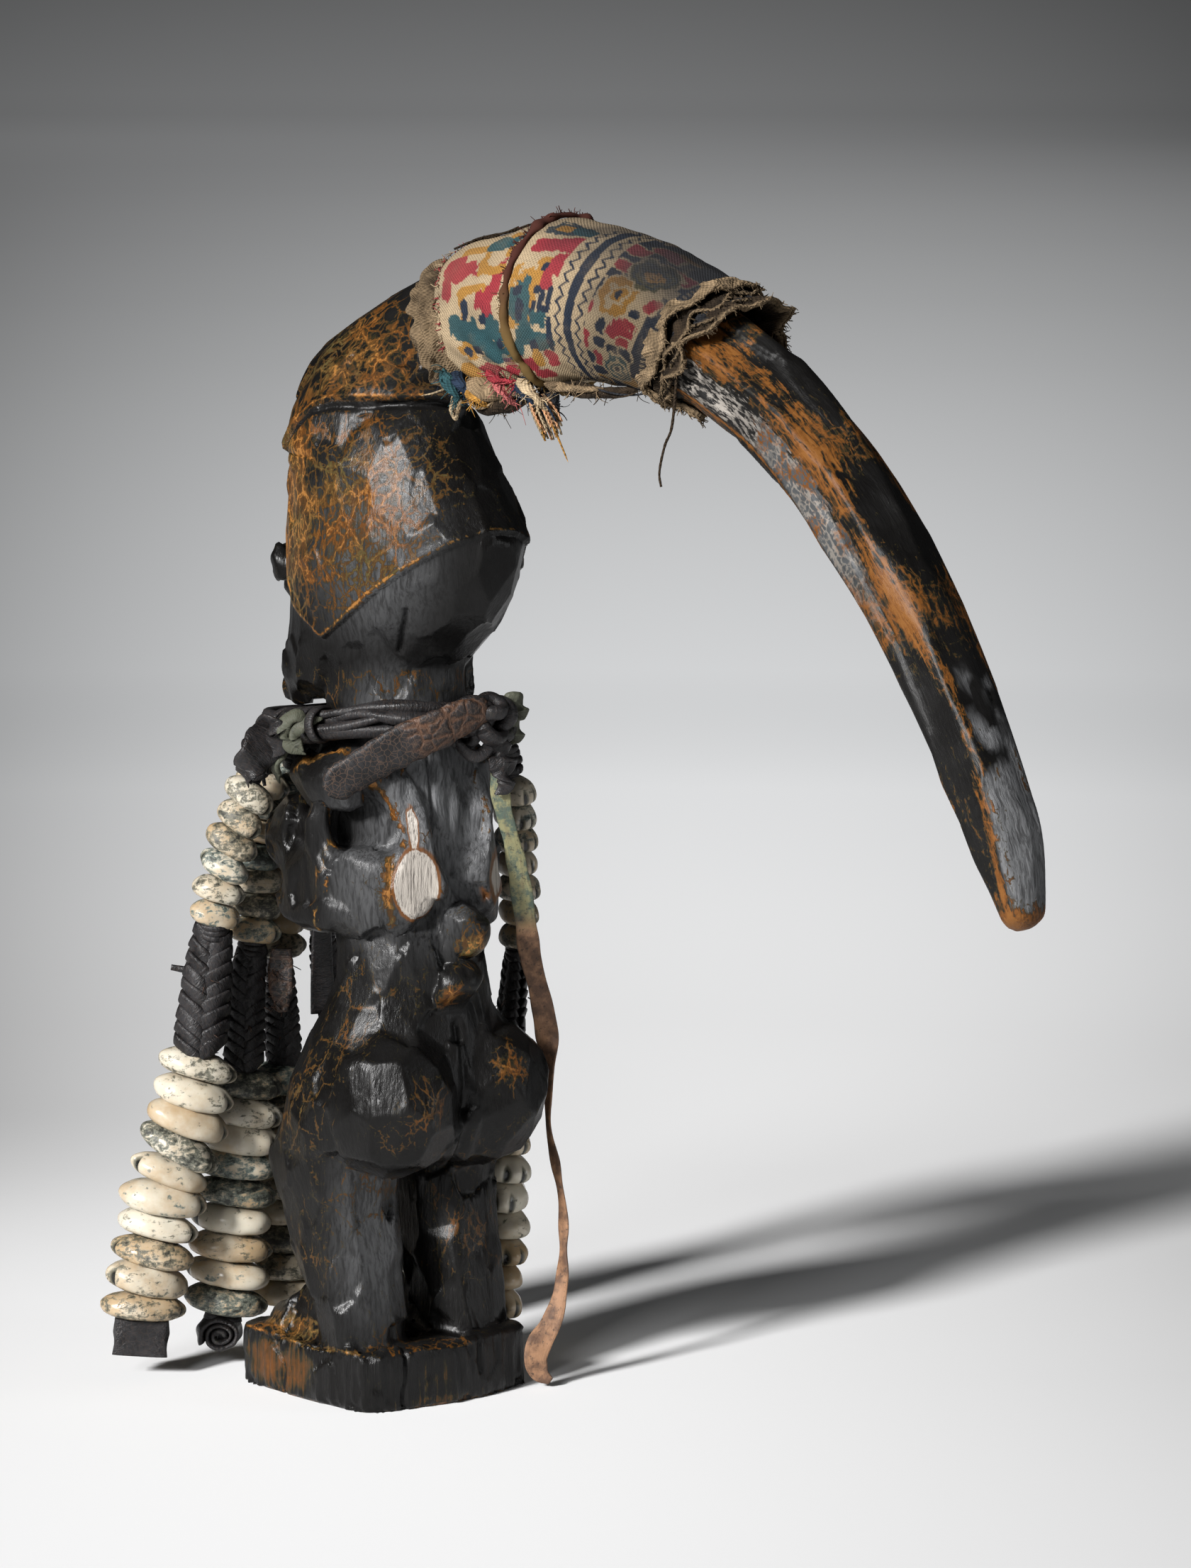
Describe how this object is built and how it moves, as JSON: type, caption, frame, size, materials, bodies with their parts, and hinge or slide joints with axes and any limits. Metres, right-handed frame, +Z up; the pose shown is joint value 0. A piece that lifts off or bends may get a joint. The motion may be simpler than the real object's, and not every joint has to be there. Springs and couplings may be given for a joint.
{
  "type": "carved eshu figure",
  "caption": "Standing carved wooden figure with a long hooked crest wrapped in printed cloth, hung with strands of cowrie shells.",
  "frame": {"origin": "centre of the flat underside of the carved base", "axes": "+Z up from the underside, the figure faces -Y, its own left side is +X, and the crest reaches out behind it to +Y"},
  "size_m": [0.1337, 0.384, 0.3971],
  "materials": {
    "carved_wood": "satin",
    "plain_cloth": "matte",
    "printed_cloth": "matte",
    "frayed_hem": "matte",
    "dark_leather": "satin",
    "brown_leather": "satin",
    "rawhide_thong": "matte",
    "shell": "gloss"
  },
  "bodies": {
    "root": {"carved_figure": "carved_wood", "plain_cloth_band": "plain_cloth", "printed_cloth": "printed_cloth", "folded_hem": "frayed_hem", "cloth_knots": "plain_cloth", "neck_ring": "dark_leather", "leather_tab": "brown_leather", "long_thong": "rawhide_thong", "front_strap": "dark_leather", "torn_flap": "brown_leather", "strand_1_tie": "dark_leather", "strand_1_upper_shells": "shell", "strand_1_plait": "dark_leather", "strand_1_lower_shells": "shell", "strand_1_end": "dark_leather", "strand_2_tie": "dark_leather", "strand_2_upper_shells": "shell", "strand_2_plait": "dark_leather", "strand_2_lower_shells": "shell", "strand_2_end": "dark_leather", "strand_3_tie": "dark_leather", "strand_3_upper_shells": "shell", "strand_3_plait": "dark_leather", "strand_3_lower_shells": "shell", "strand_3_end": "dark_leather", "strand_4_tie": "dark_leather", "strand_4_upper_shells": "shell", "strand_4_plait": "dark_leather", "strand_4_lower_shells": "shell", "strand_4_end": "dark_leather", "strand_5_tie": "dark_leather", "strand_5_upper_shells": "shell", "strand_5_plait": "dark_leather", "strand_5_lower_shells": "shell", "strand_5_end": "dark_leather"}
  },
  "joints": []
}
